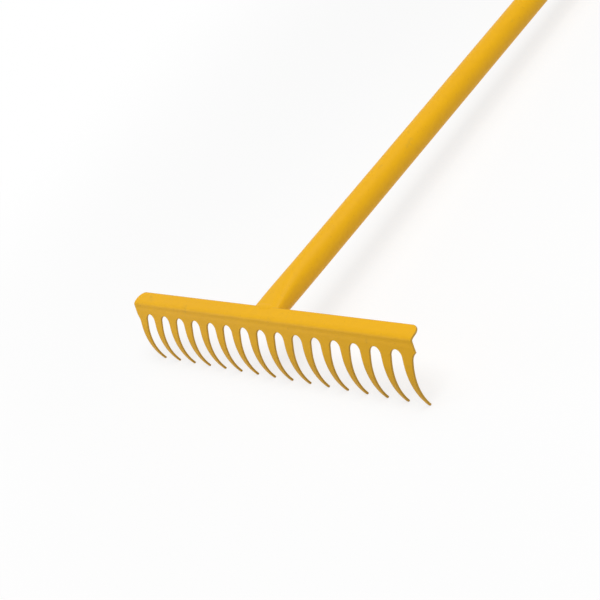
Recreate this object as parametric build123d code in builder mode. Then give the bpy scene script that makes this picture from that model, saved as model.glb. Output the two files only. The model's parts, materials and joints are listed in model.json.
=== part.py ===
"""Steel rake: a blanked and bent sheet head with curved teeth, welded to a tubular steel handle.

Millimetres, +Z up. The rake lies on the floor on its tooth tips and on the far end of its handle.
The head runs along X and the handle along +Y; the origin is on the floor below the middle.
"""

import os
from math import atan, atan2, cos, radians, sin, sqrt, tan

from build123d import *

# The head is one sheet; its lengths start at the crease, the sharp corner of its outer faces.
tooth_pitch = 27.0
tooth_root_width = 13.7  # at the level of the gap tops
tooth_tip_width = 2.6
tooth_straight = 12.3  # flat run from the gap tops to the start of the curve
tooth_curve_radius = 60.0  # of the front face
tooth_curve_angle = 45.0
gap_depth = 11.7  # from the crease down the web to the gap tops
end_gap_half_width = 10.0  # of the wider gap whose inner half is cut beside each outer tooth
end_gap_depth = 11.3
sheet = 2.0
bend_radius = 6.0  # on the inside of the bend
flange_width = 14.0
flange_rise = 10.0  # degrees between the flange and the handle's axis
web_lean = 29.0  # degrees that the web leans forward from a right angle with the handle
flange_corner_radius = 9.0

# The ends are cut off alike, as from a long strip, along a shallow chevron with a rounded corner.
end_reach = 213.0  # half of the head's length
end_top_shift = 0.6  # to the right at the free edge
end_dent_shift = 2.6  # to the left at the chevron's corner
end_dent_drop = 3.0  # from the crease to that corner
end_dent_radius = 6.0
end_foot_shift = 1.8  # to the right at the chevron's foot
end_foot_drop = 16.0
end_waste = 6.0  # of strip cut off beyond the ends

# The handle's tube laps under the flange, and behind it its top is pressed flat, flush with the flange.
tube_diameter = 28.0
tube_wall = 1.5
tube_length = 1500.0
tube_drop = 8.0  # from the flange's free edge down to the tube's axis
tube_lap = 10.0

# Welds: a low seam on top along the flange's free edge, and a bead on each side below the flange.
seam_width = 7.0
seam_height = 0.6
seam_margin = 0.5  # of flat left beside each end of the seam
bead_radius = 3.0
bead_inset = 1.0  # from each end of the lap
bead_end_round = 1.5

# Plastic plug in the handle's upper end.
plug_depth = 22.0
plug_wall = 2.5
plug_clearance = 0.1
plug_rim = 3.0
plug_rim_step = 0.5  # that the rim is inside the tube's outer face
plug_round = 2.0

# Where things lie in the section, with a along the handle from the crease and b square to it.
rise = radians(flange_rise)
lean = radians(web_lean)
tip_lean = radians(web_lean - tooth_curve_angle)
half_bend = radians(90 - flange_rise - web_lean) / 2
tube_radius = tube_diameter / 2
tooth_flat = gap_depth + tooth_straight
free_edge = (flange_width * cos(rise), flange_width * sin(rise))
under_edge = (free_edge[0] + sheet * sin(rise), free_edge[1] - sheet * cos(rise))
curve_start = (-tooth_flat * sin(lean), -tooth_flat * cos(lean))
curve_centre = (
    curve_start[0] + tooth_curve_radius * cos(lean),
    curve_start[1] - tooth_curve_radius * sin(lean),
)
tip = (
    curve_centre[0] - tooth_curve_radius * cos(tip_lean),
    curve_centre[1] + tooth_curve_radius * sin(tip_lean),
)
axis_b = free_edge[1] - tube_drop
tube_start_a = under_edge[0] - tube_lap
tube_end_a = tube_start_a + tube_length

# The whole rake is tipped until the tooth tips and the tube's end lie on the floor, with its middle at Y 0.
lie = atan2(axis_b - tube_radius - tip[1], tube_end_a - tip[0])
rim_flat_radius = tube_radius - plug_rim_step - plug_round
head_front = curve_centre[0] * cos(lie) + curve_centre[1] * sin(lie) - tooth_curve_radius
plug_back = (tube_end_a + plug_rim) * cos(lie) + (axis_b + rim_flat_radius) * sin(lie)
crease_y = -(head_front + plug_back) / 2
crease_z = tip[0] * sin(lie) - tip[1] * cos(lie)


def at(a, b):
    """The point of the section on the rake's middle plane."""
    return (0, crease_y + a * cos(lie) + b * sin(lie), crease_z - a * sin(lie) + b * cos(lie))


def towards(angle):
    """The direction at an angle, in degrees, to the handle's axis in the section."""
    turned = radians(angle) - lie
    return (0, cos(turned), sin(turned))


section = Plane(origin=at(0, 0), x_dir=towards(0), z_dir=(1, 0, 0))
web_face = Plane(origin=at(0, 0), x_dir=(1, 0, 0), z_dir=towards(180 - web_lean))
flange_top = Plane(origin=at(*free_edge), x_dir=(1, 0, 0), z_dir=towards(90 + flange_rise))
flange_under = flange_top.offset(-sheet)
seam_section = Plane(origin=at(*free_edge), x_dir=(1, 0, 0), z_dir=towards(180 + flange_rise))
crease_view = Plane(origin=at(0, 0), x_dir=(1, 0, 0), z_dir=towards(135 + (flange_rise - web_lean) / 2))
tube_start = Plane(origin=at(tube_start_a, axis_b), x_dir=(1, 0, 0), z_dir=towards(0))
tube_end = tube_start.offset(tube_length)

# The teeth taper evenly as seen square to the web, so every gap is a wedge under a round top.
tooth_reach = tooth_flat + tooth_curve_radius * sin(radians(tooth_curve_angle))
taper = atan((tooth_root_width - tooth_tip_width) / 2 / (tooth_reach - gap_depth))

# The head has as many teeth as there is room for between the corners of its end chevrons.
tooth_room = 2 * (end_reach - end_dent_shift)
tooth_count = int((tooth_room - tooth_root_width) / tooth_pitch) + 1
outer_side = ((tooth_count - 1) * tooth_pitch + tooth_root_width) / 2


def tooth_gap(half_width, depth):
    """A gap's outline from its top down: half_width is its half width at the top's level."""
    radius = half_width * cos(taper) / (1 - sin(taper))
    centre_y = -depth - radius
    touch_x, touch_y = radius * cos(taper), centre_y + radius * sin(taper)
    foot_y = -2 * tooth_reach
    foot_x = touch_x + (touch_y - foot_y) * tan(taper)
    with BuildSketch() as gap:
        with BuildLine():
            Polyline((-touch_x, touch_y), (-foot_x, foot_y), (foot_x, foot_y), (touch_x, touch_y))
            ThreePointArc((touch_x, touch_y), (0, -depth), (-touch_x, touch_y))
        make_face()
    return gap.sketch


def end_waste_outline(side):
    """What is cut off one end, -1 for left and 1 for right, as seen along the middle of the bend."""
    end_x, waste_x = side * end_reach, side * (end_reach + 2 * end_waste)
    top_y, foot_y = flange_width * cos(half_bend), -end_foot_drop * cos(half_bend)
    top = (end_x + end_top_shift, top_y)
    dent = (end_x - end_dent_shift, -end_dent_drop * cos(half_bend))
    foot = (end_x + end_foot_shift, foot_y)
    with BuildSketch() as waste:
        with BuildLine():
            FilletPolyline(top, dent, foot, radius=end_dent_radius)
            Polyline(foot, (waste_x, foot_y), (waste_x, top_y), top)
        make_face()
    return waste.sketch


# Pressed head: the bent section is drawn on its outer faces, thickened inwards and run along X.
with BuildPart() as rake_head:
    with BuildSketch(section):
        with BuildLine():
            FilletPolyline(free_edge, (0, 0), curve_start, radius=bend_radius + sheet)
            JernArc(curve_start, (-sin(lean), -cos(lean)), tooth_curve_radius, tooth_curve_angle)
            offset(amount=sheet, side=Side.LEFT)
        make_face()
    extrude(amount=end_reach + end_waste, both=True)
    with BuildSketch(web_face):
        with GridLocations(tooth_pitch, 0, tooth_count - 1, 1):
            add(tooth_gap((tooth_pitch - tooth_root_width) / 2, gap_depth))
        with GridLocations(2 * (outer_side + end_gap_half_width), 0, 2, 1):
            add(tooth_gap(end_gap_half_width, end_gap_depth))
        # Beyond the middles of the end gaps the strip is cut off straight.
        strip_width = tooth_pitch + end_waste
        with Locations((0, -end_gap_depth)):
            with GridLocations(2 * (outer_side + end_gap_half_width) + strip_width, 0, 2, 1):
                Rectangle(strip_width, 2 * tooth_reach, align=(Align.CENTER, Align.MAX))
    extrude(amount=tooth_curve_radius, both=True, mode=Mode.SUBTRACT)
    with BuildSketch(crease_view):
        add(end_waste_outline(-1))
        add(end_waste_outline(1))
    extrude(amount=flange_width, both=True, mode=Mode.SUBTRACT)
    edge_strip = rake_head.faces().sort_by(Axis((0, 0, 0), towards(flange_rise)))[-1]
    fillet(edge_strip.edges().sort_by(SortBy.LENGTH)[:2], radius=flange_corner_radius)

# The room above the flange's underside, up to the plane of its free edge.
with BuildPart() as flange_room:
    with BuildSketch(flange_under):
        Rectangle(2 * tube_diameter, 2 * tube_lap, align=(Align.CENTER, Align.MAX))
    extrude(amount=tube_diameter)

# Handle: the tube with its flattened top, cut away where the flange lies in it.
with BuildPart() as tube_bore:
    with BuildSketch(tube_start):
        Circle(tube_radius - tube_wall)
    extrude(amount=tube_length)
    split(bisect_by=flange_top.offset(-tube_wall), keep=Keep.BOTTOM)

with BuildPart() as handle_tube:
    with BuildSketch(tube_start):
        Circle(tube_radius)
    extrude(amount=tube_length)
    split(bisect_by=flange_top, keep=Keep.BOTTOM)
    add(tube_bore.part, mode=Mode.SUBTRACT)
    add(flange_room.part, mode=Mode.SUBTRACT)

# Seam weld: a low spindle that lies half on the flange and half on the tube's flat.
seam_half = sqrt(tube_radius**2 - tube_drop**2) - seam_margin
seam_sink = ((seam_width / 2) ** 2 - seam_height**2) / (2 * seam_height)
with BuildPart() as top_weld:
    with BuildSketch(seam_section):
        with BuildLine():
            ThreePointArc((-seam_half, 0), (0, seam_height), (seam_half, 0))
            Polyline((seam_half, 0), (seam_half, -seam_sink), (-seam_half, -seam_sink), (-seam_half, 0))
        make_face()
    revolve(axis=Axis(flange_top.offset(-seam_sink).origin, (1, 0, 0)))
    split(bisect_by=flange_top, keep=Keep.TOP)

# Side welds: a round bead in each corner between the tube and the flange's underside.
lap_middle_b = under_edge[1] - tube_lap / 2 * tan(rise)
bead_x = sqrt(tube_radius**2 - (lap_middle_b - axis_b) ** 2)
bead_length = tube_lap / cos(rise) - 2 * bead_inset
edge_plane = Plane(origin=flange_under.origin, x_dir=(1, 0, 0), z_dir=towards(flange_rise))


def side_weld(side):
    """The bead on one side, -1 for left and 1 for right."""
    with BuildPart() as bead:
        with BuildSketch(edge_plane.offset(-bead_inset)):
            with Locations((side * bead_x, 0)):
                Circle(bead_radius)
        extrude(amount=-bead_length)
        fillet(bead.edges().filter_by(GeomType.CIRCLE), radius=bead_end_round)
        with BuildSketch(tube_start):
            Circle(tube_radius)
        extrude(amount=2 * tube_lap, mode=Mode.SUBTRACT)
        add(flange_room.part, mode=Mode.SUBTRACT)
    return bead.part


left_weld = side_weld(-1)
right_weld = side_weld(1)

# End plug: a hollow stem pushed into the tube and a rim that covers its end.
with BuildPart() as handle_end_plug:
    stem_radius = tube_radius - tube_wall - plug_clearance
    with BuildSketch(tube_end):
        Circle(stem_radius)
    extrude(amount=-plug_depth)
    with BuildSketch(tube_end.offset(-plug_depth)):
        Circle(stem_radius - plug_wall)
    extrude(amount=plug_depth, mode=Mode.SUBTRACT)
    with BuildSketch(tube_end):
        Circle(tube_radius - plug_rim_step)
    extrude(amount=plug_rim)
    rim_face = handle_end_plug.faces().sort_by(Axis((0, 0, 0), towards(0)))[-1]
    fillet(rim_face.edges(), radius=plug_round)

pieces = {
    "rake_head": rake_head.part,
    "handle_tube": handle_tube.part,
    "top_weld": top_weld.part,
    "left_weld": left_weld,
    "right_weld": right_weld,
    "handle_end_plug": handle_end_plug.part,
}
os.makedirs("parts", exist_ok=True)
for name, piece in pieces.items():
    piece.label = name
    export_step(piece, f"parts/{name}.step")
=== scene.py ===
"""Steel rake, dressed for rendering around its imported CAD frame.

Metres, +Z up. The rake lies on the floor on its tooth tips and on the far end of its handle, with the head
along X and the handle along +Y. Its pieces are modelled in the rake's own frame, where the handle is level
and the middle of the head's crease is the origin, and are then laid down where the CAD has them.
"""

import json
from contextlib import contextmanager
from math import atan, atan2, copysign, cos, exp, pi, radians, sin, sqrt, tan

import bmesh
import bpy
from bpy.props import FloatProperty, FloatVectorProperty, IntProperty, PointerProperty
from bpy.types import Operator, Panel, PropertyGroup
from mathutils import Matrix, Vector


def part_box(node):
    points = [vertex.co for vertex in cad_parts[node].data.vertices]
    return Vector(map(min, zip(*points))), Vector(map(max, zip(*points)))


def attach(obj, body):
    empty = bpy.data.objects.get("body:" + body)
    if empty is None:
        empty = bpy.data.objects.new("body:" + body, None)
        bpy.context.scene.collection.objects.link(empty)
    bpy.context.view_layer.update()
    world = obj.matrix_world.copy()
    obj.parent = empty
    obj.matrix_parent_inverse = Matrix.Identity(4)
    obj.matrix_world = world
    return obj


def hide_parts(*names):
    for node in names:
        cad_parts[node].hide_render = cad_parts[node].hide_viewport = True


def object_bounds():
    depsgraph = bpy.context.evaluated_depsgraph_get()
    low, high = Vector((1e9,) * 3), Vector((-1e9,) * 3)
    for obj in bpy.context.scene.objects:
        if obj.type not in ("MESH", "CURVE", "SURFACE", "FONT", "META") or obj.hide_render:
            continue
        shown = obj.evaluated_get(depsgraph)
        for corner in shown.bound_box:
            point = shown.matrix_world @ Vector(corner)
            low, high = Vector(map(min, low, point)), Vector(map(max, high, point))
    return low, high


bl_info = {
    "name": "Steel rake",
    "version": (1, 0, 0),
    "blender": (4, 5, 0),
    "location": "3D View > Sidebar > Rake",
    "description": "Builds a painted steel rake around its CAD frame",
    "category": "Object",
}

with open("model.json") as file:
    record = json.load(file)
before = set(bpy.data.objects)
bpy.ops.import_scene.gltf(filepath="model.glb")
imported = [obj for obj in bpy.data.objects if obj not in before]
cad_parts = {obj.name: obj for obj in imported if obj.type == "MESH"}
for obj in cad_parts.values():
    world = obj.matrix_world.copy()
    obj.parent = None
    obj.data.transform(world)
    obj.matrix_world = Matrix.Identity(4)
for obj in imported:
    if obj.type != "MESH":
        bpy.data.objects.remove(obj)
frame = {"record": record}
cad_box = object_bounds()
slot_colours = {material["slot"]: material["base_color"] for material in frame["record"]["materials"]}

MM = 0.001
NEAR = 1e-6  # places closer than this are one
DOUBLED = 10 * NEAR  # vertices closer than this are merged
FLAT = radians(0.1)  # faces that turn less than this lie in one plane
SHARP = radians(40)  # edges that turn more than this are rounded, or stay edges in the shading

# How finely curved shapes are stepped.
TUBE_SIDES = 96
GAP_STEPS = 12
TOOTH_STEPS = 16
BEND_STEPS = 12
CORNER_CUTS = 9
EDGE_STEPS = 3
RIM_STEPS = 6
SEAM_COLUMNS = 48
SEAM_ROWS = 12
BEAD_SIDES = 32
BEAD_CUTS = 40

# How far a piece's box may differ from its CAD node's. The tube's pressed end is spread wider than in
# the CAD, and the beads beside it lie further out.
NODE_SLACK = 1 * MM
TUBE_SLACK = 5 * MM
WELD_SLACK = 6 * MM

WHITE = (1, 1, 1, 1)

# Shades of the finishes, as shares of the red, green and blue of the paint or the plastic.
PLAIN = (1.0, 1.0, 1.0)
DEEP = (1.0, 0.98, 0.3)
LIGHT = (1.05, 1.06, 0.3)
MOTTLED = (0.93, 0.9, 0.5)
# Thin coat in worn patches; on the cut edges it also darkens them all along, partly as a thinner coat and
# partly as painted shade.
THIN_AND_EDGE_SHADE = (0.3, 0.42, 2.6)
DUSTY = (0.6, 0.5, 0.5)
SCUFFED = (2.2, 2.2, 2.1)


def length(name, description, millimetres):
    """A size that a user may change, given in millimetres and kept in metres."""
    return FloatProperty(
        name=name, description=description, default=millimetres * MM, min=0.0, precision=5, unit="LENGTH"
    )


def angle(name, description, degrees):
    """An angle that a user may change, given in degrees."""
    return FloatProperty(name=name, description=description, default=radians(degrees), subtype="ANGLE")


def colour(name, description, default):
    """A colour that a user may change, in linear red, green and blue."""
    return FloatVectorProperty(
        name=name, description=description, default=default, size=3, min=0.0, max=1.0, subtype="COLOR"
    )


def spot(name, description, default):
    """A place in metres that a user may change."""
    return FloatVectorProperty(
        name=name,
        description=description,
        default=default,
        size=3,
        precision=5,
        subtype="TRANSLATION",
        unit="LENGTH",
    )


def amount(name, description, default, unit="NONE"):
    """A plain number that a user may change."""
    return FloatProperty(name=name, description=description, default=default, min=0.0, unit=unit)


class RakeHeadSizes(PropertyGroup):
    """Sizes of the pressed head, which start at its crease."""

    tooth_count: IntProperty(name="Teeth", description="Teeth along the head", default=16, min=3)
    tooth_pitch: length("Tooth pitch", "From the middle of a tooth to the next", 27.0)
    tooth_root_width: length("Tooth root", "Width of a tooth at the gap tops", 13.7)
    tooth_tip_width: length("Tooth tip", "Width of a tooth at its tip", 2.6)
    tooth_straight: length("Straight run", "From the gap tops to the start of the curve", 12.3)
    tooth_curve_radius: length("Curve radius", "Radius of a tooth's front face", 60.0)
    tooth_curve_angle: angle("Curve angle", "How far a tooth turns back", 45.0)
    gap_depth: length("Gap depth", "From the crease down to the gap tops", 11.7)
    end_gap_half: length("End gap", "Half width of the gap cut beside each outer tooth", 10.0)
    end_gap_depth: length("End gap depth", "From the crease down to the end gaps' tops", 11.3)
    sheet: length("Sheet", "Thickness of the sheet", 2.0)
    bend_on_web: length("Bend on the web", "From the crease down to the bend's lower end", 2.6)
    bend_on_flange: length("Bend on the flange", "From the crease up to the bend's upper end", 5.0)
    mark_depth: length("Mark depth", "Depth of the press mark below the bend", 0.24)
    mark_drop: length("Mark drop", "From the crease down to the press mark", 5.2)
    mark_width: length("Mark width", "Half width of the press mark", 2.5)
    web_start: length("Web start", "From the crease down to where the web is flat", 10.0)
    flange_width: length("Flange width", "From the crease to the free edge", 14.0)
    flange_rise: angle("Flange rise", "Between the flange and the handle", 10.0)
    web_lean: angle("Web lean", "How far the web leans forward", 29.0)
    flange_corner: length("Flange corner", "Radius of the flange's corners", 9.0)
    end_reach: length("End reach", "Half of the head's length", 213.0)
    end_top_shift: length("Top shift", "How far the ends lie to the right at the free edge", 0.6)
    end_dent_shift: length("Dent shift", "How far the ends lie to the left at the chevron's corner", 2.6)
    end_dent_drop: length("Dent drop", "From the crease down to the chevron's corner", 3.0)
    end_dent_round: length("Dent rounding", "Softness of the chevron's corner", 1.0)
    end_foot_shift: length("Foot shift", "How far the ends lie to the right at the chevron's foot", 1.8)
    end_foot_drop: length("Foot drop", "From the crease down to the chevron's foot", 16.0)
    edge_round: length("Edge rounding", "Rounding of the painted sheet's edges", 0.45)


class RakeHandleSizes(PropertyGroup):
    """Sizes of the tube and of the plug in its far end."""

    tube_diameter: length("Tube diameter", "Outside of the tube", 28.0)
    tube_wall: length("Tube wall", "Thickness of the tube's wall", 1.5)
    tube_length: length("Tube length", "From the lap to the far end", 1500.0)
    tube_drop: length("Tube drop", "From the flange's free edge down to the tube's axis", 8.0)
    tube_lap: length("Tube lap", "How far the tube reaches under the flange", 10.0)
    flat_square: amount("Flat squareness", "How much squarer the tube's upper half is at the flange", 2.4)
    flat_spread: length("Flat spread", "How far each side of the tube is spread at the flange", 4.5)
    flat_belly: length("Flat belly", "How far the tube's underside is raised at the flange", 2.6)
    flat_fade: length("Flat fade", "From the flange to where the tube is round again", 70.0)
    flat_row: length("Flat row", "Length of the tube's faces there", 1.4)
    plug_depth: length("Plug depth", "How far the plug goes in", 22.0)
    plug_wall: length("Plug wall", "Thickness of the plug's stem", 2.5)
    plug_clearance: length("Plug clearance", "Between the plug's stem and the tube", 0.1)
    plug_rim: length("Plug rim", "Thickness of the plug's rim", 3.0)
    plug_rim_step: length("Plug step", "That the rim is inside the tube's outer face", 0.5)
    plug_round: length("Plug rounding", "Rounding of the rim", 2.0)


class RakeWeldSizes(PropertyGroup):
    """Sizes of the welds between the tube and the flange."""

    seam_width: length("Seam width", "Width of the dressed seam on top", 7.0)
    seam_height: length("Seam height", "Height of the seam over the flange", 0.6)
    seam_margin: length("Seam margin", "Flat left beside each end of the seam", 0.5)
    seam_end: amount("Seam ends", "Width of the seam's ends, as a share of its width", 0.2)
    bead_radius: length("Bead radius", "Radius of the side beads", 3.0)
    bead_inset: length("Bead inset", "From each end of the lap to the bead", 1.0)
    bead_tail: amount("Bead tails", "Length of a bead's rounded ends, as a share of its radius", 0.6)
    bead_end: amount("Bead ends", "Radius of a bead's ends, as a share of its radius", 0.25)
    bead_ripple: length("Bead ripple", "Depth of the ripples in a side bead", 0.3)
    bead_ripples: IntProperty(name="Ripples", description="Ripples along a side bead", default=5, min=1)
    weld_sink: length("Weld sink", "How deep the welds reach into what they join", 0.8)


class RakeFinish(PropertyGroup):
    """Colours, gloss and wear of the coat and of the plug."""

    paint: colour("Paint", "Colour of the coat", slot_colours["head_paint"])
    plastic: colour("Plastic", "Colour of the plug", slot_colours["plug_plastic"])
    paint_roughness: amount("Paint roughness", "Roughness of the coat", 0.42)
    paint_shine: amount("Paint shine", "Strength of the coat's reflections", 0.15)
    cloud_gloss: amount("Cloud gloss", "How much the roughness varies with the clouds", 0.08)
    skin_gloss: amount("Skin gloss", "How much the roughness varies with the peel", 0.06)
    mottle: amount("Mottle", "Strength of the coat's fine mottling", 0.2)
    wear: amount("Wear", "How bare the coat is in its thin patches", 0.25)
    edge_wear: amount("Edge wear", "How bare the coat is in the thin patches of cut edges", 0.8)
    # Darkens every cut edge all along: partly a thinner coat, partly painted shade.
    edge_bare_and_shade: amount("Edge bareness", "How bare the coat is all along cut edges", 0.41)
    peel: amount("Peel", "Strength of the bumps in the coat", 0.12)
    weld_peel: amount("Weld peel", "Strength of the bumps in the coat of the welds", 0.3)
    peel_depth: length("Peel depth", "Depth of the bumps in the coat", 0.3)
    dust: amount("Dust", "Strength of the dust nibs' colour", 0.2)
    dust_height: amount("Dust height", "Height of the dust nibs, as a share of the peel's", 0.6)
    plastic_roughness: amount("Plastic roughness", "Roughness of the plug", 0.6)
    grain: amount("Grain", "Strength of the plastic's grain", 0.25)
    grain_depth: length("Grain depth", "Depth of the plastic's grain", 0.2)
    grain_gloss: amount("Grain gloss", "How much the plastic's roughness varies with its grain", 0.15)
    scuffs: amount("Scuffs", "Strength of the paler scuffs", 0.4)
    scuff_gloss: amount("Scuff gloss", "How much rougher the scuffs are", 0.1)


class RakeStage(PropertyGroup):
    """The camera, the lights and the floor. The lamps' places are counted from the middle of the head."""

    camera_place: spot("Camera place", "Where the camera stands", (1.12635, -1.27026, 0.76279))
    camera_turn: FloatVectorProperty(
        name="Camera turn",
        description="How the camera is turned",
        default=[radians(degrees) for degrees in (54.196, 32.096, 41.982)],
        size=3,
        subtype="EULER",
    )
    camera_lens: amount("Lens", "Focal length on a 36 mm sensor", 90.35, "CAMERA")
    camera_range: length("Range", "How far the camera sees", 50000.0)
    key_place: spot("Key place", "Large lamp above the right end", (0.75, 0.15, 1.9))
    key_size: length("Key size", "Width of the large lamp", 1200.0)
    key_power: amount("Key power", "Power of the large lamp", 22.3, "POWER")
    top_place: spot("Top place", "Larger lamp high over the handle", (0.0, 0.6, 2.4))
    top_size: length("Top size", "Width of the lamp over the handle", 2000.0)
    top_power: amount("Top power", "Power of the lamp over the handle", 17.6, "POWER")
    fill_place: spot("Fill place", "Small lamp before the left end", (-0.65, -0.5, 0.35))
    fill_size: length("Fill size", "Width of the small lamp", 400.0)
    fill_power: amount("Fill power", "Power of the small lamp", 1.1, "POWER")
    surround: amount("Surround", "Strength of the light from all round", 0.2)
    floor_size: length("Floor size", "Width of the floor", 16000.0)
    floor_fade: length("Floor fade", "From the rake's box to where the floor looks white", 700.0)
    floor_tone: amount("Floor tone", "How much light the floor throws back", 0.85)
    floor_white: amount("Floor white", "How far the floor by the rake is lifted to white", 0.75)


class RakeSettings(PropertyGroup):
    """All the settings of the rake."""

    head: PointerProperty(type=RakeHeadSizes)
    handle: PointerProperty(type=RakeHandleSizes)
    weld: PointerProperty(type=RakeWeldSizes)
    finish: PointerProperty(type=RakeFinish)
    stage: PointerProperty(type=RakeStage)


class RakeSection:
    """Places worked out from the sizes, in the rake's own frame: Y along the handle, Z square to it."""

    def __init__(self, rake):
        head, handle = rake.head, rake.handle
        self.rise, self.lean = head.flange_rise, head.web_lean
        slope = self.rise + self.lean
        half_bend = (pi / 2 - slope) / 2
        middle = slope + half_bend
        self.upright_flange = Vector((0, cos(slope), sin(slope)))
        self.upright_middle = Vector((0, cos(middle), sin(middle))) / cos(half_bend)
        self.tooth_flat = head.gap_depth + head.tooth_straight
        tooth_reach = self.tooth_flat + head.tooth_curve_radius * sin(head.tooth_curve_angle)
        narrowing = (head.tooth_root_width - head.tooth_tip_width) / 2
        self.taper = atan(narrowing / (tooth_reach - head.gap_depth))

        self.up_flange = Vector((0, cos(self.rise), sin(self.rise)))
        self.off_flange = Vector((0, -sin(self.rise), cos(self.rise)))
        self.free_edge = head.flange_width * self.up_flange
        self.under_edge = self.free_edge - head.sheet * self.off_flange
        self.tube_radius = handle.tube_diameter / 2
        self.tube_axis = self.free_edge.z - handle.tube_drop
        self.tube_start = self.under_edge.y - handle.tube_lap
        self.tube_end = self.tube_start + handle.tube_length

        down_web = Vector((0, -sin(self.lean), -cos(self.lean)))
        off_web = Vector((0, -cos(self.lean), sin(self.lean)))
        curve_centre = self.tooth_flat * down_web - head.tooth_curve_radius * off_web
        tip_lean = self.lean - head.tooth_curve_angle
        tip = curve_centre + head.tooth_curve_radius * Vector((0, -cos(tip_lean), sin(tip_lean)))
        lie = atan2(self.tube_axis - self.tube_radius - tip.z, self.tube_end - tip.y)
        rim_top = self.tube_axis + self.tube_radius - handle.plug_rim_step - handle.plug_round
        head_front = curve_centre.y * cos(lie) + curve_centre.z * sin(lie) - head.tooth_curve_radius
        plug_back = (self.tube_end + handle.plug_rim) * cos(lie) + rim_top * sin(lie)
        crease_y = -(head_front + plug_back) / 2
        crease_z = tip.y * sin(lie) - tip.z * cos(lie)
        self.laid_down = Matrix.Translation((0, crease_y, crease_z)) @ Matrix.Rotation(-lie, 4, "X")


class PressedTube:
    """The tube's section at one place: pressed flat and spread at the flange, and round further up."""

    def __init__(self, handle, section, y):
        press = section.tube_radius - handle.tube_drop
        # So steep that the flat leaves the flange in the flange's own plane.
        steepness = handle.flat_fade * tan(section.rise) / press
        behind = (y - section.free_edge.y) / handle.flat_fade
        share = min(1.0, max(0.0, 1 - behind) ** steepness)
        self.half_width = section.tube_radius + handle.flat_spread * share
        self.height = section.tube_radius - press * share
        self.depth = section.tube_radius - handle.flat_belly * share
        self.square = 2 + handle.flat_square * share

    def pressed(self, across, up):
        """Where a point of the round tube goes, from the axis; it is given as shares of the radius."""
        power, height = (2 / self.square, self.height) if up > 0 else (1, self.depth)
        aside = self.half_width * copysign(abs(across) ** power, across)
        return aside, height * copysign(abs(up) ** power, up)

    def half_width_at(self, up):
        """Half of the width at a height over the axis."""
        return self.half_width * (1 - (up / self.height) ** self.square) ** (1 / self.square)


# Modelling helpers: each acts on one piece, as a hand would in the viewport.


def select_only(*pieces):
    """Selects just these pieces and makes the first one active."""
    bpy.ops.object.select_all(action="DESELECT")
    for piece in pieces:
        piece.select_set(True)
    bpy.context.view_layer.objects.active = pieces[0]


def new_piece(name, add_primitive, **settings):
    """Adds a primitive as the start of a piece and gives it its name."""
    bpy.ops.object.select_all(action="DESELECT")
    add_primitive(**settings)
    piece = bpy.context.active_object
    piece.name = piece.data.name = name
    bpy.ops.object.transform_apply(location=True, rotation=True, scale=True)
    return piece


@contextmanager
def editing(piece):
    """Edit mode on one piece."""
    select_only(piece)
    bpy.ops.object.mode_set(mode="EDIT")
    yield
    bpy.ops.object.mode_set(mode="OBJECT")


def pick(kind, test):
    """Selects just the vertices, edges or faces whose corners all pass the test."""
    bpy.ops.mesh.select_mode(type=kind)
    bpy.ops.mesh.select_all(action="DESELECT")
    mesh = bpy.context.edit_object.data
    shape = bmesh.from_edit_mesh(mesh)
    for element in {"VERT": shape.verts, "EDGE": shape.edges, "FACE": shape.faces}[kind]:
        corners = [element] if kind == "VERT" else element.verts
        if all(test(corner.co) for corner in corners):
            element.select_set(True)
    shape.select_flush_mode()
    bmesh.update_edit_mesh(mesh)


def extrude(move):
    """Extrudes what is selected along a vector."""
    bpy.ops.mesh.extrude_region_move(TRANSFORM_OT_translate={"value": move})


def reshape(piece, place):
    """Moves every vertex of a piece to where the formula puts it."""
    for vertex in piece.data.vertices:
        vertex.co = place(vertex.co)


def merge():
    """Merges doubled vertices and makes the faces point the same way."""
    bpy.ops.mesh.select_all(action="SELECT")
    bpy.ops.mesh.remove_doubles(threshold=DOUBLED)
    bpy.ops.mesh.normals_make_consistent(inside=False)


def apply_modifier(piece, kind, **settings):
    """Adds a modifier to a piece and applies it."""
    modifier = piece.modifiers.new(kind.title(), kind)
    for name, value in settings.items():
        setattr(modifier, name, value)
    bpy.context.view_layer.objects.active = piece
    bpy.ops.object.modifier_apply(modifier=modifier.name)


def place_piece(piece, matrix):
    """Puts a piece's place into its mesh, with the object left at the origin."""
    select_only(piece)
    piece.matrix_world = matrix
    bpy.ops.object.transform_apply(location=True, rotation=True, scale=True)


def join(pieces):
    """Joins pieces into the first one."""
    select_only(*pieces)
    bpy.ops.object.join()
    return pieces[0]


def copy_of(piece, name):
    """A copy of a piece with its own mesh."""
    twin = piece.copy()
    twin.data = piece.data.copy()
    twin.name = twin.data.name = name
    bpy.context.scene.collection.objects.link(twin)
    return twin


def smooth(piece):
    """Shades a piece smooth, with large flat faces kept flat."""
    select_only(piece)
    bpy.ops.object.shade_smooth_by_angle(angle=SHARP)
    apply_modifier(piece, "WEIGHTED_NORMAL", keep_sharp=True)


def paint(piece, *coats):
    """Gives a piece its materials, the one for most of its faces first."""
    for coat in coats:
        piece.data.materials.append(coat)


def hand_over(piece, node, slack=NODE_SLACK):
    """Lets a finished piece stand for its CAD node, once it is seen to lie where the node does."""
    corners = [vertex.co for vertex in piece.data.vertices]
    low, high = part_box(node)
    for axis in range(3):
        along = [corner[axis] for corner in corners]
        if max(abs(min(along) - low[axis]), abs(max(along) - high[axis])) > slack:
            raise RuntimeError(f"{piece.name} doesn't lie where {node} does along axis {axis}")
    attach(piece, "root")
    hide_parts(node)


# Materials


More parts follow.
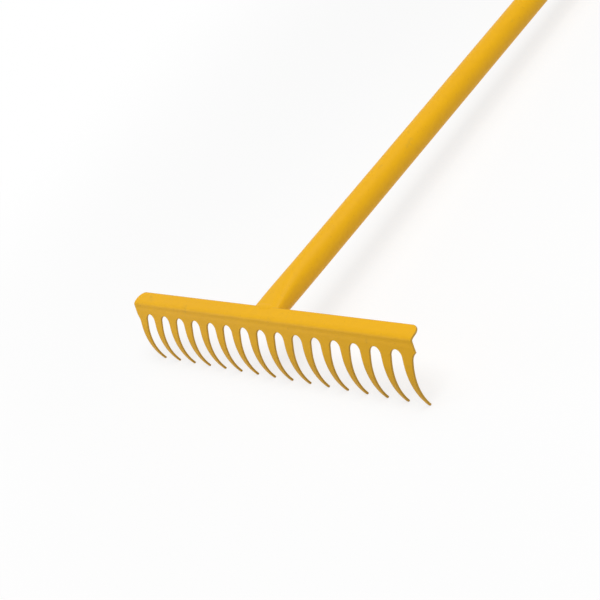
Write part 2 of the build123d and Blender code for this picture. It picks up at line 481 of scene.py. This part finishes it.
class Value:
    """A shader socket that can be used in Python expressions."""

    def __init__(self, tree, socket):
        self.tree = tree
        self.socket = socket

    def math(self, operation, *values):
        """One Math node in this value's tree."""
        return self.tree.add("ShaderNodeMath", {"operation": operation}, dict(enumerate(values)))

    def larger(self, other):
        """The larger of this value and another."""
        return self.math("MAXIMUM", self, other)

    def swing(self, width):
        """Noise from 0 to 1 made to swing about 0, by so much from end to end."""
        return (self - 0.5) * width

    def __add__(self, other):
        return self.math("ADD", self, other)

    def __radd__(self, other):
        return self.math("ADD", other, self)

    def __sub__(self, other):
        return self.math("SUBTRACT", self, other)

    def __rsub__(self, other):
        return self.math("SUBTRACT", other, self)

    def __mul__(self, other):
        return self.math("MULTIPLY", self, other)

    def __rmul__(self, other):
        return self.math("MULTIPLY", other, self)


class ShaderTree:
    """The node tree of a material or of the world."""

    def __init__(self, owner):
        owner.use_nodes = True
        self.nodes = owner.node_tree.nodes
        self.links = owner.node_tree.links
        self.nodes.clear()

    def add(self, kind, settings, sockets, output=0):
        """One node: its settings first, then its sockets' values or links; gives one of its outputs."""
        node = self.nodes.new(kind)
        for name, value in settings.items():
            setattr(node, name, value)
        for name, value in sockets.items():
            if isinstance(value, Value):
                self.links.new(value.socket, node.inputs[name])
            else:
                node.inputs[name].default_value = value
        return Value(self, node.outputs[output]) if node.outputs else None

    def here(self):
        """Where the shaded point lies on its object, in metres."""
        return self.add("ShaderNodeTexCoord", {}, {}, "Object")

    def noise(self, place, scale, detail=2.0, roughness=0.5):
        """Noise from 0 to 1, with its scale as spots to the metre."""
        sockets = {"Vector": place, "Scale": scale, "Detail": detail, "Roughness": roughness}
        return self.add("ShaderNodeTexNoise", {}, sockets)

    def spread(self, value, low, high):
        """A value stretched so that low becomes 0 and high becomes 1."""
        sockets = {"Value": value, "From Min": low, "From Max": high}
        return self.add("ShaderNodeMapRange", {"interpolation_type": "SMOOTHSTEP"}, sockets)

    def mix(self, share, first, second):
        """A colour between two others."""
        # The node has sockets for numbers and vectors too. These are the ones for colours.
        first_socket, second_socket, result = 6, 7, 2
        sockets = {"Factor": share, first_socket: first, second_socket: second}
        return self.add("ShaderNodeMix", {"data_type": "RGBA"}, sockets, result)

    def mix_shader(self, share, first, second):
        """A shader between two others."""
        return self.add("ShaderNodeMixShader", {}, {0: share, 1: first, 2: second})

    def bump(self, height, depth, strength):
        """A normal bumped by heights from 0 to 1, which stand for a depth in metres."""
        return self.add("ShaderNodeBump", {}, {"Height": height, "Distance": depth, "Strength": strength})

    def close(self, shader, kind="ShaderNodeOutputMaterial"):
        """Ends the tree with its output."""
        self.add(kind, {}, {"Surface": shader})


def tint(rgb, shade):
    """A colour with its red, green and blue scaled by a shade, and with full alpha."""
    return (*(part * share for part, share in zip(rgb, shade)), 1.0)


def powder_coat(name, finish, peel, wear, bare=0.0):
    """Satin powder coat: faint clouds of colour, a fine peel, dust nibs, and thin, dull patches.

    Peel is how strong its bumps are, wear how bare the thin patches are, and bare how bare it is elsewhere,
    which on the cut edges is partly a thinner coat and partly painted shade.
    """
    material = bpy.data.materials.new(name)
    tree = ShaderTree(material)
    here = tree.here()
    clouds = tree.noise(here, scale=14.0, detail=3.0)
    mottle = tree.spread(tree.noise(here, scale=160.0), low=0.3, high=0.7)
    skin = tree.noise(here, scale=900.0, detail=1.0)
    nibs = tree.spread(tree.noise(here, scale=420.0, detail=0.0), low=0.76, high=0.84)
    patches = tree.spread(tree.noise(here, scale=55.0, detail=4.0, roughness=0.6), low=0.62, high=0.8)

    coat = tree.mix(clouds, tint(finish.paint, DEEP), tint(finish.paint, LIGHT))
    coat = tree.mix(mottle * finish.mottle, coat, tint(finish.paint, MOTTLED))
    # On cut edges, bare darkens the whole coat towards the thin shade: partly a thinner coat, partly
    # painted shade.
    coat = tree.mix(patches * wear * (1 - bare) + bare, coat, tint(finish.paint, THIN_AND_EDGE_SHADE))
    coat = tree.mix(nibs * finish.dust, coat, tint(finish.paint, DUSTY))
    rough = clouds.swing(finish.cloud_gloss) + skin.swing(finish.skin_gloss) + finish.paint_roughness
    bump = tree.bump(skin + nibs * finish.dust_height, finish.peel_depth, peel)
    sockets = {
        "Base Color": coat,
        "Roughness": rough,
        "Specular IOR Level": finish.paint_shine,
        "Normal": bump,
    }
    tree.close(tree.add("ShaderNodeBsdfPrincipled", {}, sockets))
    return material


def moulded_plastic(name, finish):
    """Matt moulded plastic with a fine grain and paler scuffs."""
    material = bpy.data.materials.new(name)
    tree = ShaderTree(material)
    here = tree.here()
    grain = tree.noise(here, scale=1500.0)
    scuffs = tree.spread(tree.noise(here, scale=240.0, detail=4.0, roughness=0.65), low=0.5, high=0.75)

    shade = tree.mix(scuffs * finish.scuffs, tint(finish.plastic, PLAIN), tint(finish.plastic, SCUFFED))
    rough = grain.swing(finish.grain_gloss) + scuffs * finish.scuff_gloss + finish.plastic_roughness
    bump = tree.bump(grain, finish.grain_depth, finish.grain)
    sockets = {"Base Color": shade, "Roughness": rough, "Normal": bump}
    tree.close(tree.add("ShaderNodeBsdfPrincipled", {}, sockets))
    return material


# Head


def end_shift(head, drop):
    """How far both ends lie to the right at a drop below the crease, as a round-cornered chevron."""
    top_slope = (head.end_top_shift + head.end_dent_shift) / (head.flange_width + head.end_dent_drop)
    foot_slope = (head.end_foot_shift + head.end_dent_shift) / (head.end_foot_drop - head.end_dent_drop)
    below = drop - head.end_dent_drop
    rounded = sqrt(below**2 + head.end_dent_round**2)
    common, turning = (foot_slope - top_slope) / 2, (foot_slope + top_slope) / 2
    return common * below + turning * rounded - head.end_dent_shift


class EndLine:
    """The web's straight end line on an outer half tooth, from the chevron's corner down."""

    def __init__(self, head, side):
        self.end = head.end_reach - (head.tooth_count - 1) / 2 * head.tooth_pitch
        self.dent = Vector((self.end - side * head.end_dent_shift, 0, -head.end_dent_drop))
        run = head.end_foot_drop - head.end_dent_drop
        across = side * (head.end_foot_shift + head.end_dent_shift)
        self.outwards = Vector((run, 0, across)).normalized()


def bend_points(head, section):
    """Upright points of the bend's outer face, from the flat web over the press mark to the flat flange."""
    low, high = Vector((0, 0, -head.web_start)), Vector((0, 0, -head.bend_on_web))
    flange = head.bend_on_flange * section.upright_flange
    shares = [step / BEND_STEPS for step in range(BEND_STEPS + 1)]
    points = [low.lerp(high, share) for share in shares[:-1]]
    points += [high * (1 - share) ** 2 + flange * share**2 for share in shares]
    for point in points[1:]:
        point.y += head.mark_depth * exp(-(((point.z + head.mark_drop) / head.mark_width) ** 2))
    return points


def add_curve(head, section, foot):
    """Runs a tooth's foot on as its curve, in edit mode, and cuts the curve to the tooth's taper.

    Foot is half of the tooth's width where the curve starts.
    """
    flat = section.tooth_flat
    pick("EDGE", lambda p: p.z < -flat + NEAR)
    # Spin turns against the right-hand rule.
    bpy.ops.mesh.spin(
        steps=TOOTH_STEPS,
        angle=-head.tooth_curve_angle,
        center=(0, head.tooth_curve_radius, -flat),
        axis=(1, 0, 0),
    )
    pick("FACE", lambda p: p.z < -flat + NEAR)
    bpy.ops.mesh.bisect(
        plane_co=(foot, 0, -flat),
        plane_no=(cos(section.taper), 0, -sin(section.taper)),
        clear_outer=True,
    )


def add_flange(head, section):
    """Runs the web on over the press mark and the bend to the flange's free edge, in edit mode."""
    pick("EDGE", lambda p: p.z > -head.web_start - NEAR)
    bend = bend_points(head, section)
    for point, following in zip(bend, bend[1:]):
        extrude(following - point)
    extrude((head.flange_width - head.bend_on_flange) * section.upright_flange)


def half_tooth(name, rake, section, reach, depth, side=0):
    """Half a tooth with its share of web, bend and flange, upright, with the tooth's middle at X 0.

    Reach is from there to the panel's side, and depth from the crease down to the gap beside the tooth.
    Side is 1 or -1 for the outer half at the head's right or left end, and X points outwards in both.
    """
    head = rake.head
    root = head.tooth_root_width / 2
    gap = reach - root
    flat = section.tooth_flat
    run = flat - depth
    panel = new_piece(name, bpy.ops.mesh.primitive_plane_add, size=1, rotation=(pi / 2, 0, 0))
    reshape(panel, lambda corner: Vector(((corner.x + 0.5) * root, 0, (corner.z + 0.5) * run - flat)))
    narrowing = run * tan(section.taper)
    with editing(panel):
        pick("VERT", lambda p: p.x > root / 2 and p.z < -flat + NEAR)
        bpy.ops.transform.translate(value=(-narrowing, 0, 0))
        pick("EDGE", lambda p: p.z > -depth - NEAR)
        extrude((0, 0, depth - head.web_start))
        pick("EDGE", lambda p: p.x > root - NEAR and p.z > -depth - NEAR)
        extrude((gap, 0, 0))
        bpy.ops.mesh.select_all(action="SELECT")
        bpy.ops.mesh.dissolve_limited(angle_limit=FLAT)

        # A round top to the gap: the corner beside the tooth is rounded as far as the panel's side.
        pick("VERT", lambda p: abs(p.x - root) < NEAR and abs(p.z + depth) < NEAR)
        bpy.ops.mesh.bevel(affect="VERTICES", offset=gap, segments=GAP_STEPS, clamp_overlap=False)
        if side:
            line = EndLine(head, side)
            bpy.ops.mesh.select_all(action="SELECT")
            bpy.ops.mesh.bisect(plane_co=line.dent, plane_no=line.outwards, clear_outer=True)
        add_curve(head, section, root - narrowing)
        add_flange(head, section)
        merge()
    return panel


def shape_end(panel, rake, section, side):
    """Gives an outer half tooth the chevron above its end line, and the flange's round corner."""
    head = rake.head
    line = EndLine(head, side)
    up, corner, flange_start = section.upright_flange, head.flange_corner, head.bend_on_flange
    side_x = max(vertex.co.x for vertex in panel.data.vertices if vertex.co.z > -head.web_start - NEAR)

    def on_side(p):
        return p.z > -head.web_start - NEAR and p.x > side_x - DOUBLED

    def on_flange(p):
        return on_side(p) and p.dot(up) > flange_start - NEAR

    with editing(panel):
        pick("EDGE", on_flange)
        bpy.ops.mesh.subdivide(number_cuts=CORNER_CUTS)

    def place(p):
        if on_flange(p):
            turn = (p.dot(up) - flange_start) / (head.flange_width - flange_start) * pi / 2
            along = flange_start + (head.flange_width - flange_start) * sin(turn)
            across = line.end + side * end_shift(head, -along) - corner * (1 - cos(turn))
            return along * up + Vector((across, 0, 0))
        if on_side(p):
            return Vector((line.end + side * end_shift(head, -p.dot(section.upright_middle)), p.y, p.z))
        return p.copy()

    reshape(panel, place)


def head_sheet(rake, section):
    """The head's outer faces as one open sheet, upright, with the crease at the origin."""
    head = rake.head
    outer_tooth = (head.tooth_count - 1) / 2 * head.tooth_pitch
    end_gap = head.tooth_root_width / 2 + head.end_gap_half
    teeth = half_tooth("painted_head", rake, section, head.tooth_pitch / 2, head.gap_depth)
    ends = []
    for side in (-1, 1):
        outer_half = half_tooth("outer_half", rake, section, end_gap, head.end_gap_depth, side)
        shape_end(outer_half, rake, section, side)
        inner_half = copy_of(teeth, "inner_half")
        place_piece(inner_half, Matrix.Scale(-1, 4, (1, 0, 0)))
        end = join([outer_half, inner_half])
        place_piece(end, Matrix.Translation((outer_tooth, 0, 0)))
        place_piece(end, Matrix.Scale(side, 4, (1, 0, 0)))
        ends.append(end)
    apply_modifier(teeth, "MIRROR", merge_threshold=NEAR)
    place_piece(teeth, Matrix.Translation((head.tooth_pitch - outer_tooth, 0, 0)))
    apply_modifier(
        teeth,
        "ARRAY",
        count=head.tooth_count - 2,
        use_relative_offset=False,
        use_constant_offset=True,
        constant_offset_displace=(head.tooth_pitch, 0, 0),
    )
    sheet = join([teeth, *ends])
    with editing(sheet):
        merge()
    return sheet


class RAKE_OT_head(Operator):
    """Models the pressed head: one bent sheet with curved, tapered teeth and softly rounded edges"""

    bl_idname = "rake.head"
    bl_label = "Pressed head"

    def execute(self, context):
        rake = context.scene.rake
        section = RakeSection(rake)
        sheet = head_sheet(rake, section)
        web_middle = Vector((0, 0, -rake.head.web_start))
        web = min(sheet.data.polygons, key=lambda face: (face.center - web_middle).length)
        if web.normal.y > 0:
            with editing(sheet):
                bpy.ops.mesh.select_all(action="SELECT")
                bpy.ops.mesh.flip_normals()
        finish = rake.finish
        coat = powder_coat("head_coat", finish, finish.peel, finish.wear)
        # The cut edges' coat is darker all along: partly a thinner coat, partly painted shade.
        shaded_cut_edge = powder_coat("cut_edge_coat_and_shade", finish, finish.peel, finish.edge_wear, finish.edge_bare_and_shade)
        paint(sheet, coat, shaded_cut_edge)
        apply_modifier(
            sheet,
            "SOLIDIFY",
            thickness=rake.head.sheet,
            offset=-1,
            use_even_offset=True,
            material_offset_rim=1,
        )
        apply_modifier(
            sheet,
            "BEVEL",
            width=rake.head.edge_round,
            segments=EDGE_STEPS,
            limit_method="ANGLE",
            angle_limit=SHARP,
            material=1,
        )
        place_piece(sheet, section.laid_down @ Matrix.Rotation(-section.lean, 4, "X"))
        smooth(sheet)
        hand_over(sheet, "rake_head")
        return {"FINISHED"}


# Handle


class RAKE_OT_handle(Operator):
    """Models the handle: a tube that is pressed flat behind the flange and laps under it"""

    bl_idname = "rake.handle"
    bl_label = "Tube handle"

    def execute(self, context):
        rake = context.scene.rake
        section = RakeSection(rake)
        handle, radius = rake.handle, section.tube_radius
        rows = round((section.free_edge.y + handle.flat_fade - section.tube_start) / handle.flat_row)
        tube = new_piece(
            "painted_handle",
            bpy.ops.mesh.primitive_circle_add,
            vertices=TUBE_SIDES,
            radius=radius,
            rotation=(-pi / 2, 0, 0),
            location=(0, section.tube_start, section.tube_axis),
        )
        with editing(tube):
            bpy.ops.mesh.select_all(action="SELECT")
            for _ in range(rows):
                extrude((0, handle.flat_row, 0))
            extrude((0, handle.tube_length - rows * handle.flat_row, 0))
            merge()

        def press(p):
            here = PressedTube(handle, section, p.y)
            across, up = here.pressed(p.x / radius, (p.z - section.tube_axis) / radius)
            return Vector((across, p.y, section.tube_axis + up))

        reshape(tube, press)
        with editing(tube):
            bpy.ops.mesh.select_all(action="SELECT")
            bpy.ops.mesh.bisect(plane_co=section.free_edge, plane_no=section.up_flange)
            pick("FACE", lambda p: (p - section.free_edge).dot(section.up_flange) < NEAR)
            bpy.ops.mesh.split()
            bpy.ops.mesh.bisect(plane_co=section.under_edge, plane_no=section.off_flange, clear_outer=True)
            merge()
        apply_modifier(tube, "SOLIDIFY", thickness=handle.tube_wall, offset=-1, use_even_offset=True)
        with editing(tube):
            pick("EDGE", lambda p: p.y > section.tube_end - NEAR)
            bpy.ops.mesh.bevel(offset=rake.head.edge_round, segments=EDGE_STEPS)
        place_piece(tube, section.laid_down)
        smooth(tube)
        paint(tube, powder_coat("handle_coat", rake.finish, rake.finish.peel, rake.finish.wear))
        hand_over(tube, "handle_tube", TUBE_SLACK)
        return {"FINISHED"}


# Welds


def seam_weld(rake, section):
    """The low dressed seam along the free edge, half on the flange and half on the tube's flat."""
    weld = rake.weld
    half = sqrt(section.tube_radius**2 - rake.handle.tube_drop**2) - weld.seam_margin
    seam = new_piece(
        "painted_seam_weld",
        bpy.ops.mesh.primitive_grid_add,
        x_subdivisions=SEAM_COLUMNS,
        y_subdivisions=SEAM_ROWS,
        size=2,
    )
    with editing(seam):
        bpy.ops.mesh.select_all(action="SELECT")
        extrude((0, 0, 1))

    def place(corner):
        across = half * sin(corner.x * pi / 2)
        narrowing = sqrt(max(0.0, 1 - (across / half) ** 2))
        along = weld.seam_width / 2 * corner.y * max(weld.seam_end, narrowing)
        on_top = corner.z > 0.5
        lift = weld.seam_height * narrowing * (1 - corner.y**2) if on_top else -weld.weld_sink
        middle = section.free_edge + Vector((across, 0, 0))
        return middle + along * section.up_flange + lift * section.off_flange

    reshape(seam, place)
    with editing(seam):
        merge()
    return seam


def side_bead(name, rake, section, side):
    """The rippled bead in one corner between the tube and the flange's underside: -1 left, 1 right."""
    weld = rake.weld
    lap = rake.handle.tube_lap
    under = section.under_edge.z - lap / 2 * tan(section.rise)
    tube = PressedTube(rake.handle, section, section.tube_start + lap / 2)
    across = tube.half_width_at(under - section.tube_axis)
    long = lap / cos(section.rise) - 2 * weld.bead_inset
    bead = new_piece(name, bpy.ops.mesh.primitive_cylinder_add, vertices=BEAD_SIDES, radius=1, depth=1)
    with editing(bead):
        bpy.ops.mesh.select_mode(type="EDGE")
        bpy.ops.mesh.select_all(action="DESELECT")
        shape = bmesh.from_edit_mesh(bead.data)
        for edge in shape.edges:
            edge.select_set(abs(edge.verts[0].co.z - edge.verts[1].co.z) > 0.5)
        bmesh.update_edit_mesh(bead.data)
        bpy.ops.mesh.subdivide(number_cuts=BEAD_CUTS)

    def place(corner):
        step = corner.z + 0.5
        end = min(step, 1 - step) * long / (weld.bead_radius * weld.bead_tail)
        rounding = sqrt(max(0.0, 1 - (1 - min(1.0, end)) ** 2))
        ripple = weld.bead_ripple * abs(sin(weld.bead_ripples * pi * step))
        radius = (weld.bead_radius - weld.bead_ripple + ripple) * max(weld.bead_end, rounding)
        return (
            section.under_edge
            + Vector((side * across + corner.x * radius, 0, 0))
            + min(corner.y * radius, weld.weld_sink) * section.off_flange
            - (weld.bead_inset + step * long) * section.up_flange
        )

    reshape(bead, place)
    with editing(bead):
        merge()
    return bead


class RAKE_OT_welds(Operator):
    """Models the dressed seam on top of the flange and the two beads under it"""

    bl_idname = "rake.welds"
    bl_label = "Welds"

    def execute(self, context):
        rake = context.scene.rake
        section = RakeSection(rake)
        coat = powder_coat("weld_coat", rake.finish, rake.finish.weld_peel, rake.finish.wear)
        welds = {
            "top_weld": seam_weld(rake, section),
            "left_weld": side_bead("painted_left_bead", rake, section, -1),
            "right_weld": side_bead("painted_right_bead", rake, section, 1),
        }
        for node, piece in welds.items():
            place_piece(piece, section.laid_down)
            smooth(piece)
            paint(piece, coat)
            hand_over(piece, node, WELD_SLACK)
        return {"FINISHED"}


# Plug


class RAKE_OT_plug(Operator):
    """Models the plastic plug in the handle's far end"""

    bl_idname = "rake.plug"
    bl_label = "End plug"

    def execute(self, context):
        rake = context.scene.rake
        section = RakeSection(rake)
        handle = rake.handle
        rim_radius = section.tube_radius - handle.plug_rim_step
        stem_radius = section.tube_radius - handle.tube_wall - handle.plug_clearance
        plug = new_piece(
            "moulded_plug",
            bpy.ops.mesh.primitive_cylinder_add,
            vertices=TUBE_SIDES,
            radius=rim_radius,
            depth=handle.plug_rim,
            rotation=(-pi / 2, 0, 0),
            location=(0, section.tube_end + handle.plug_rim / 2, section.tube_axis),
        )
        face = section.tube_end + handle.plug_rim
        with editing(plug):
            pick("FACE", lambda p: p.y < section.tube_end + NEAR)
            bpy.ops.mesh.inset(thickness=rim_radius - stem_radius)
            extrude((0, -handle.plug_depth, 0))
            bpy.ops.mesh.inset(thickness=handle.plug_wall)
            extrude((0, handle.plug_depth, 0))
            pick("FACE", lambda p: p.y > face - NEAR)
            bpy.ops.mesh.bevel(offset=handle.plug_round, segments=RIM_STEPS, affect="EDGES")
            merge()
        place_piece(plug, section.laid_down)
        smooth(plug)
        paint(plug, moulded_plastic("plug_plastic_grain", rake.finish))
        hand_over(plug, "handle_end_plug")
        return {"FINISHED"}


# Stage


def seen_directly(tree):
    """1 for a ray from the camera, a reflection or a refraction, and 0 for light that bounces."""
    path = tree.add("ShaderNodeLightPath", {}, {}, "Is Camera Ray")
    outputs = path.socket.node.outputs
    glossy = Value(tree, outputs["Is Glossy Ray"])
    through = Value(tree, outputs["Is Transmission Ray"])
    return path.larger(glossy).larger(through)


def white_surround(strength):
    """A world that is white to look at and lights the rake evenly from all round."""
    world = bpy.data.worlds.new("white_surround")
    tree = ShaderTree(world)
    light = tree.add("ShaderNodeBackground", {}, {"Color": WHITE, "Strength": strength})
    white = tree.add("ShaderNodeBackground", {}, {"Color": WHITE, "Strength": 1.0})
    tree.close(tree.mix_shader(seen_directly(tree), light, white), "ShaderNodeOutputWorld")
    bpy.context.scene.world = world


def pale_floor(stage):
    """A floor that bounces light as pale board does, and looks white but for a soft shadow."""
    material = bpy.data.materials.new("pale_floor")
    tree = ShaderTree(material)
    low, high = cad_box
    here = tree.here()
    along_x, along_y = (tree.add("ShaderNodeSeparateXYZ", {}, {"Vector": here}, axis) for axis in "XY")
    beside = tree.spread(along_x.math("ABSOLUTE", along_x), high.x, high.x + stage.floor_fade)
    ahead = tree.spread(low.y - along_y, 0.0, stage.floor_fade)
    behind = tree.spread(along_y - high.y, 0.0, stage.floor_fade)
    away = beside.larger(ahead).larger(behind)
    lift = away * (1 - stage.floor_white) + stage.floor_white
    tone = stage.floor_tone
    board = tree.add("ShaderNodeBsdfDiffuse", {}, {"Color": (tone, tone, tone, 1)})
    paper = tree.add("ShaderNodeBsdfDiffuse", {}, {"Color": WHITE})
    white = tree.add("ShaderNodeEmission", {}, {"Color": WHITE, "Strength": 1.0})
    tree.close(tree.mix_shader(seen_directly(tree), board, tree.mix_shader(lift, paper, white)))
    return material


def area_lamp(name, place, aim, size, power):
    """A soft square lamp that points at a place."""
    lamp = bpy.data.lights.new(name, "AREA")
    lamp.energy = power
    lamp.size = size
    holder = bpy.data.objects.new(name, lamp)
    holder.location = place
    holder.rotation_euler = (Vector(aim) - Vector(place)).to_track_quat("-Z", "Y").to_euler()
    bpy.context.scene.collection.objects.link(holder)


class RAKE_OT_stage(Operator):
    """Sets up the floor, the soft light and the camera"""

    bl_idname = "rake.stage"
    bl_label = "Stage"

    def execute(self, context):
        stage = context.scene.rake.stage
        scene = context.scene
        scene.view_settings.view_transform = "Standard"
        white_surround(stage.surround)
        floor = new_piece("floor", bpy.ops.mesh.primitive_plane_add, size=stage.floor_size)
        paint(floor, pale_floor(stage))
        low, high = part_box("rake_head")
        head = (low + high) / 2
        area_lamp("key_lamp", head + Vector(stage.key_place), head, stage.key_size, stage.key_power)
        area_lamp("top_lamp", head + Vector(stage.top_place), head, stage.top_size, stage.top_power)
        area_lamp("fill_lamp", head + Vector(stage.fill_place), head, stage.fill_size, stage.fill_power)
        camera = bpy.data.cameras.new("camera")
        camera.lens = stage.camera_lens
        camera.clip_end = stage.camera_range
        holder = bpy.data.objects.new("camera", camera)
        holder.location = stage.camera_place
        holder.rotation_euler = stage.camera_turn
        scene.collection.objects.link(holder)
        scene.camera = holder
        return {"FINISHED"}


class RAKE_PT_panel(Panel):
    """Lists the rake's pieces and settings in the sidebar"""

    bl_idname = "RAKE_PT_panel"
    bl_label = "Steel rake"
    bl_space_type = "VIEW_3D"
    bl_region_type = "UI"
    bl_category = "Rake"

    def draw(self, context):
        rake = context.scene.rake
        for group in (rake.head, rake.handle, rake.weld, rake.finish, rake.stage):
            box = self.layout.box()
            for name in group.__annotations__:
                box.prop(group, name)
        for operator in OPERATORS:
            self.layout.operator(operator.bl_idname)


GROUPS = (RakeHeadSizes, RakeHandleSizes, RakeWeldSizes, RakeFinish, RakeStage, RakeSettings)
OPERATORS = (RAKE_OT_head, RAKE_OT_handle, RAKE_OT_welds, RAKE_OT_plug, RAKE_OT_stage)
CLASSES = (*GROUPS, *OPERATORS, RAKE_PT_panel)


def register():
    """Adds the classes and the scene's settings."""
    for entry in CLASSES:
        bpy.utils.register_class(entry)
    bpy.types.Scene.rake = PointerProperty(type=RakeSettings)


def unregister():
    """Takes the settings and the classes out again."""
    del bpy.types.Scene.rake
    for entry in reversed(CLASSES):
        bpy.utils.unregister_class(entry)


def main():
    """Registers the classes, then builds every piece and the stage."""
    register()
    bpy.ops.rake.head()
    bpy.ops.rake.handle()
    bpy.ops.rake.welds()
    bpy.ops.rake.plug()
    bpy.ops.rake.stage()


if __name__ == "__main__":
    main()
